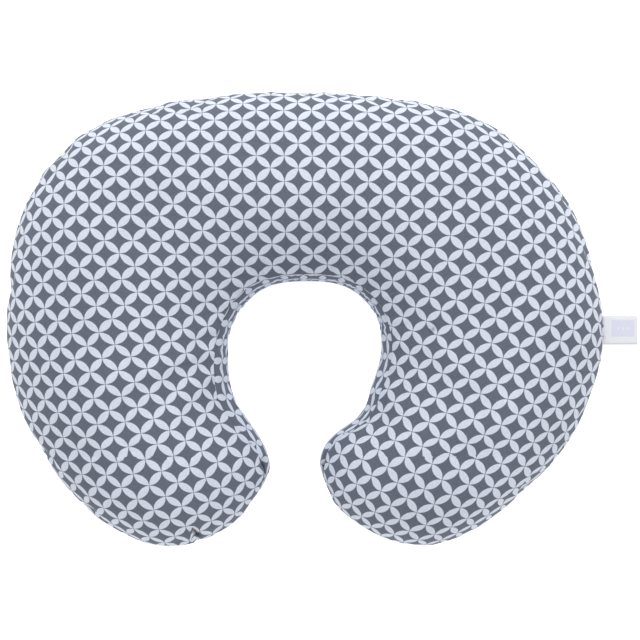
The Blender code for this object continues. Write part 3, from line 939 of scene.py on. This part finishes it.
def coil_plastic():
    n = Nodes("zip_coil")
    speckle = n.noise(n.place(), 500.0, 2.0)
    tone = n.mix(speckle, colour((92, 98, 110)), colour((112, 118, 131)))
    return n.finish(tone, n.multiply_add(speckle, 0.2, 0.35), speckle, 0.1, 0.0001)


def painted_metal():
    n = Nodes("zip_metal")
    place = n.place()
    brushed = n.noise(n.scaled(place, (1, 6, 6)), 500.0, 3.0)
    wear = n.ramp(n.noise(place, 220.0, 3.0), 0.56, 0.70)
    tone = n.mix(wear, colour((128, 132, 140)), colour((176, 178, 182)))
    return n.finish(tone, n.multiply_add(brushed, 0.18, 0.28), brushed, 0.12, 0.0001,
                    Metallic=0.85)


# --- Pieces ---



def make_object(name, verts, faces, material, uv=None, shade=None):
    mesh = bpy.data.meshes.new(name)
    mesh.from_pydata([tuple(map(float, v)) for v in verts], [], faces)
    if uv is not None:
        layer = mesh.uv_layers.new(name="cloth")
        index = np.zeros(len(mesh.loops), int)
        mesh.loops.foreach_get("vertex_index", index)
        layer.data.foreach_set("uv", np.asarray(uv, float)[index].ravel())
    if shade is not None:
        layer = mesh.attributes.new("fold_shadow", "FLOAT", "POINT")
        layer.data.foreach_set("value", np.asarray(shade, float).ravel())
    mesh.shade_smooth()
    mesh.materials.append(material)
    return linked(name, mesh)


def face_out(piece, point):
    """Turns every face of an open sheet away from a point inside the pillow's arm."""
    mesh = piece.data
    mesh.update()
    face = max(mesh.polygons, key=lambda f: f.area)
    if (face.center - Vector(point)).dot(face.normal) < 0:
        mesh.flip_normals()


def inside_point(body):
    return (*(body.centre[0] + PLAN_SHIFT), MID_HEIGHT)


def cover_panel(name, upper, move, material):
    """One printed panel, with its sewn edge turned in."""
    body = Body(FINE)
    rows = ROW_STEPS * FINE
    grid = body.point(section_rows(body, upper, rows))
    flat = print_grid(upper)
    step = norm(np.diff(grid, axis=1), axis=2)
    distance = joined(np.zeros((body.count, 1)), np.cumsum(step, axis=1))
    shade = np.zeros((body.count, rows + 1))
    if upper:
        shade = np.minimum(slit_shadow(body, distance) + spots(grid, FOLD_SHADOWS), 1.0)
    grid = shaped(body, grid, distance, move, upper)
    turned = grid[:, :1] + inward_of(body, grid)[:, :1] * ALLOWANCE
    edge_flat = flat[:, :1] + (flat[:, :1] - flat[:, 4:5]) * 0.5
    grid = joined(turned, grid)
    flat = joined(edge_flat, flat)
    shade = joined(shade[:, :1], shade)
    verts, uv = flat_vertices(body, grid), flat_vertices(body, flat)
    shade = flat_vertices(body, shade[..., None])
    piece = make_object(name, verts, grid_faces(body, rows + 1), material, uv, shade)
    face_out(piece, inside_point(body))
    return piece


def gusset_piece(name, move, material):
    """The strip round the opening, from one tip to the other, with its edges turned in."""
    body = Body(FINE)
    steps = STRIP_STEPS * FINE
    grid = strip_grid(body, steps)
    share = np.arange(steps + 1) / steps
    distance = np.minimum(share, 1 - share) * 2 * body.rise[:, None]
    shade = slit_shadow(body, (1 - share) * body.rise[:, None])
    shade = joined(shade[:, :1], shade, shade[:, -1:])
    grid = shaped(body, grid, distance, move, False, STRIP_MAX_OUT)
    inward = inward_of(body, grid)
    below = grid[:, :1] + inward[:, :1] * ALLOWANCE
    above = grid[:, -1:] + inward[:, -1:] * ALLOWANCE
    grid = joined(below, grid, above)
    share = np.concatenate(([share[0] - STRIP_TURNED], share, [share[-1] + STRIP_TURNED]))

    leaf_at = body.place_of(STRIP_LEAF_AT)
    along = (np.mod(body.place, body.total) - leaf_at) / STRIP_REPEAT
    arc = np.sum(norm(np.diff(strip_grid(body, steps), axis=1), axis=2), axis=1) / 2
    up = ((2 * share - 1) * arc[:, None] - STRIP_ROW) / STRIP_REPEAT
    along = np.broadcast_to(along[:, None], up.shape)
    flat = np.stack((REPEAT[0] * (along - up) / 2, REPEAT[1] * (along + up) / 2), axis=-1)

    inside = np.flatnonzero(body.rise > STRIP_LEAST)
    grid, flat, shade = grid[inside], flat[inside], shade[inside]
    width = grid.shape[1]
    faces = []
    for i in range(len(inside) - 1):
        for j in range(width - 1):
            a = i * width + j
            faces.append((a, a + width, a + width + 1, a + 1))
    verts, uv = grid.reshape(-1, 3), flat.reshape(-1, 2)
    piece = make_object(name, verts, faces, material, uv, shade)
    centre = body.centre[inside[len(inside) // 2]] + PLAN_SHIFT
    face_out(piece, (*centre, MID_HEIGHT))
    return piece


def brand_label(material):
    """A satin tape folded in half: rounded fold outwards, a stitched line by the seam."""
    low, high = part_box("brand_label")
    half = (high.z - low.z) / 2
    middle = (low.z + high.z) / 2
    reach, width = high.x - low.x, high.y - low.y
    bend = reach - half
    profile = [(t, half) for t in np.linspace(0, bend, 15)]
    profile += [
        (bend + half * math.cos(a), half * math.sin(a))
        for a in np.linspace(math.pi / 2, -math.pi / 2, 9)[1:-1]
    ]
    profile += [(t, -half) for t in np.linspace(bend, 0, 15)]
    inner = []
    for x, z in profile:
        past = max(x - bend, 0)
        inner.append((x - past * LABEL_LAYER / half, z * (half - LABEL_LAYER) / half))
    path = np.array(profile + inner[::-1])
    length = np.concatenate(([0], np.cumsum(norm(np.diff(path, axis=0), axis=1))))
    across = np.linspace(0, width, 13)
    verts, uv = [], []
    for y in across:
        edge = min(y, width - y)
        for (x, z), s in zip(path, length):
            thin = 1 - LABEL_THIN[0] * math.exp(-((edge / LABEL_THIN[1]) ** 2))
            dip, at, wide = LABEL_WAIST
            waist = 1 - dip * math.exp(-(((x - at) / wide) ** 2))
            wave = LABEL_WAVE * math.sin(5.5 * x / reach + 9 * y) * smoothstep(0, reach, x)
            verts.append((low.x + x, low.y + y, middle + z * thin * waist + wave))
            uv.append((x if z > 0 else x + LABEL_BACK, y))
    count = len(path)
    faces = []
    for i in range(len(across) - 1):
        for j in range(count):
            k = (j + 1) % count
            faces.append((i * count + j, i * count + k, (i + 1) * count + k, (i + 1) * count + j))
    faces.append(tuple(range(count))[::-1])
    last = (len(across) - 1) * count
    faces.append(tuple(range(last, last + count)))
    piece = make_object("side_label_tape", verts, faces, material, uv)
    normals_out(piece.data)
    return piece


def zip_frame(angle):
    """Axes at an angle of the zip's arc: along the zip, out of the cloth, up the cloth."""
    c, s = math.cos(angle), math.sin(angle)
    out = Vector((s, c, 0)) * math.cos(ZIP_LEAN) - Vector((0, 0, math.sin(ZIP_LEAN)))
    along = Vector((c, -s, 0))
    matrix = Matrix((along, out, along.cross(out))).transposed().to_4x4()
    x, y = BACK_CENTRE + ZIP_RADIUS * np.array((s, c)) + PLAN_SHIFT
    matrix.translation = (x, y, MID_HEIGHT - ZIP_DROP)
    return matrix


def tube(paths, radius, sides):
    """Vertices and faces of round tubes along lists of points."""
    verts, faces = [], []
    for path in paths:
        path = [Vector(p) for p in path]
        start = len(verts)
        for i, p in enumerate(path):
            ahead = path[min(i + 1, len(path) - 1)] - path[max(i - 1, 0)]
            ahead.normalize()
            side = ahead.cross(Vector((0.13, 0.21, 0.97))).normalized()
            other = ahead.cross(side)
            for k in range(sides):
                a = 2 * math.pi * k / sides
                verts.append(p + (side * math.cos(a) + other * math.sin(a)) * radius)
        for i in range(len(path) - 1):
            for k in range(sides):
                n = (k + 1) % sides
                a, b = start + i * sides, start + (i + 1) * sides
                faces.append((a + k, a + n, b + n, b + k))
        faces.append(tuple(range(start + sides - 1, start - 1, -1)))
        end = start + (len(path) - 1) * sides
        faces.append(tuple(range(end, end + sides)))
    return verts, faces


def zip_coil(name, side, material):
    """A monofilament wound as a spiral along one tape's edge."""
    turns = int(2 * COIL_HALF_ANGLE * ZIP_RADIUS / TOOTH_PITCH)
    samples = 8
    path = []
    for i in range(turns * samples + 1):
        turn = i / samples
        share = (turn + (0.25 if side > 0 else -0.25)) / turns
        angle = -COIL_HALF_ANGLE + 2 * COIL_HALF_ANGLE * min(max(share, 0), 1)
        a = 2 * math.pi * turn
        out = COIL_OUT[0] + COIL_OUT[1] * math.sin(a)
        up = side * (COIL_UP[0] - COIL_UP[1] * math.cos(a))
        path.append(zip_frame(angle) @ Vector((0, out, up)))
    verts, faces = tube([path], COIL_WIRE, 6)
    return make_object(name, verts, faces, material)


def stitches(name, side, cloth, material):
    """A line of stitches on the cloth beside the zip."""
    bpy.context.view_layer.update()
    rise = side * (ZIP_SLOT + STITCH_MARGIN) - ZIP_DROP
    paths = []
    for middle in np.arange(-STITCH_HALF_ANGLE, STITCH_HALF_ANGLE, STITCH_PITCH / BACK_RADIUS):
        path = []
        for share in (-1, -0.5, 0, 0.5, 1):
            angle = middle + share * STITCH_HALF / BACK_RADIUS
            out = Vector((math.sin(angle), math.cos(angle), 0))
            x, y = BACK_CENTRE + PLAN_SHIFT
            start = Vector((x, y, MID_HEIGHT + rise)) + out * (BACK_RADIUS + STITCH_SEARCH)
            hit, place, _, _ = cloth.ray_cast(start, -out, distance=2 * STITCH_SEARCH)
            if hit:
                path.append(place + out * STITCH_LIFT * (1 - share * share))
        if len(path) > 1:
            paths.append(path)
    verts, faces = tube(paths, THREAD_RADIUS, 6)
    return make_object(name, verts, faces, material)


def softened(node, name, width):
    """A copy of a small CAD part with its edges rounded off."""
    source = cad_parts[node]
    mesh = source.data.copy()
    piece = linked(name, mesh)
    piece.matrix_world = source.matrix_world.copy()
    bm = bmesh.new()
    bm.from_mesh(mesh)
    bmesh.ops.remove_doubles(bm, verts=bm.verts, dist=1e-6)
    bmesh.ops.dissolve_limit(bm, angle_limit=0.02, verts=bm.verts, edges=bm.edges)
    sharp = [e for e in bm.edges if e.is_manifold and e.calc_face_angle(0) > 0.6]
    bmesh.ops.bevel(bm, geom=sharp, offset=width, segments=2, affect="EDGES",
                    clamp_overlap=True, profile=0.5)
    bm.to_mesh(mesh)
    bm.free()
    mesh.shade_smooth()
    return piece


# --- Studio ---


def studio():
    scene = bpy.context.scene
    camera_data = bpy.data.cameras.new("camera")
    camera_data.sensor_width = SENSOR
    camera_data.lens = SENSOR * (CAMERA_HEIGHT - MID_HEIGHT) / FRAME_WIDTH
    camera = linked("camera", camera_data)
    camera.location = (*CAMERA_PLACE, CAMERA_HEIGHT)
    scene.camera = camera

    corners = [(x * FLOOR_SIZE, y * FLOOR_SIZE, 0) for x, y in ((-1, -1), (1, -1), (1, 1), (-1, 1))]
    n = Nodes("floor_paper")
    grain = n.noise(n.place(), 400.0, 2.0)
    paper = n.finish((0.9, 0.9, 0.9, 1), 0.9, grain, 0.1, 0.0002,
                     Emission_Color=(1, 1, 1, 1), Emission_Strength=0.62)
    floor = make_object("floor", corners, [(0, 1, 2, 3)], paper)
    floor.location.z = -FLOOR_DROP

    def lamp(name, place, target, size, power):
        data = bpy.data.lights.new(name, "AREA")
        data.size = size
        data.energy = power
        lamp_object = linked(name, data)
        lamp_object.location = place
        aim = Vector(target) - Vector(place)
        lamp_object.rotation_euler = aim.to_track_quat("-Z", "Y").to_euler()

    lamp("key_light", (0.1, 1.5, 1.7), (0, 0.0, 0.05), 1.2, KEY_POWER)
    lamp("fill_light", (0.0, -0.6, 2.4), (0, 0, 0.05), 2.2, FILL_POWER)
    world = bpy.data.worlds.new("studio_air")
    world.use_nodes = True
    tone, strength = world.node_tree.nodes["Background"].inputs[:2]
    tone.default_value = (1, 1, 1, 1)
    strength.default_value = AIR
    scene.world = world
    scene.view_settings.view_transform = "Standard"


def dress(piece, body, slot, *nodes):
    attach(piece, body)
    if nodes:
        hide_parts(*nodes)
    return piece


def main():
    studio()
    cotton = printed_cotton()
    top_move, strip_move, bottom_move = wrinkles()
    top = cover_panel("cover_top_cloth", True, top_move, cotton)
    bottom = cover_panel("cover_bottom_cloth", False, bottom_move, cotton)
    strip = gusset_piece("cover_gusset_cloth", strip_move, cotton)
    for piece, node in (
        (top, "cover_top_panel"), (bottom, "cover_bottom_panel"), (strip, "cover_inner_gusset"),
    ):
        dress(piece, "pillow", "printed_cotton", node)

    satin = label_satin()
    label = dress(brand_label(satin), "label", "label_satin", "brand_label")

    plastic, metal = coil_plastic(), painted_metal()
    for side, word in ((1, "upper"), (-1, "lower")):
        coil = zip_coil(f"zip_spiral_{word}", side, plastic)
        dress(coil, "pillow", "zip_coil", f"zip_coil_{word}")
    thread = woven("cover_thread", (132, 138, 151), (158, 164, 177), 0.0004, 0.6)
    for side, word, cloth in ((1, "upper", top), (-1, "lower", bottom)):
        line = stitches(f"zip_stitching_{word}", side, cloth, thread)
        dress(line, "pillow", "printed_cotton")
    for node, name, body, width in (
        ("zip_slider", "zip_slider_body", "slider", 0.00018),
        ("zip_pull", "zip_pull_tab", "pull", 0.00022),
    ):
        piece = dress(softened(node, name, width), body, "zip_metal", node)
        piece.data.materials.clear()
        piece.data.materials.append(metal)

    tape = woven("zip_tape", (84, 90, 102), (104, 110, 123), 0.0005, 0.85)
    casing = woven("casing_cloth", (228, 229, 231), (242, 243, 245), 0.0007, 0.88)
    finishes = {
        "zip_tape_upper": tape, "zip_tape_lower": tape,
        "zip_top_stop_upper": metal, "zip_top_stop_lower": metal, "zip_bottom_stop": metal,
        "casing_top_panel": casing, "casing_bottom_panel": casing, "fill_core": fibre(),
        "cover_care_label": satin, "casing_care_label": satin,
    }
    for node, finish in finishes.items():
        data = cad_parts[node].data
        data.materials.clear()
        data.materials.append(finish)


main()
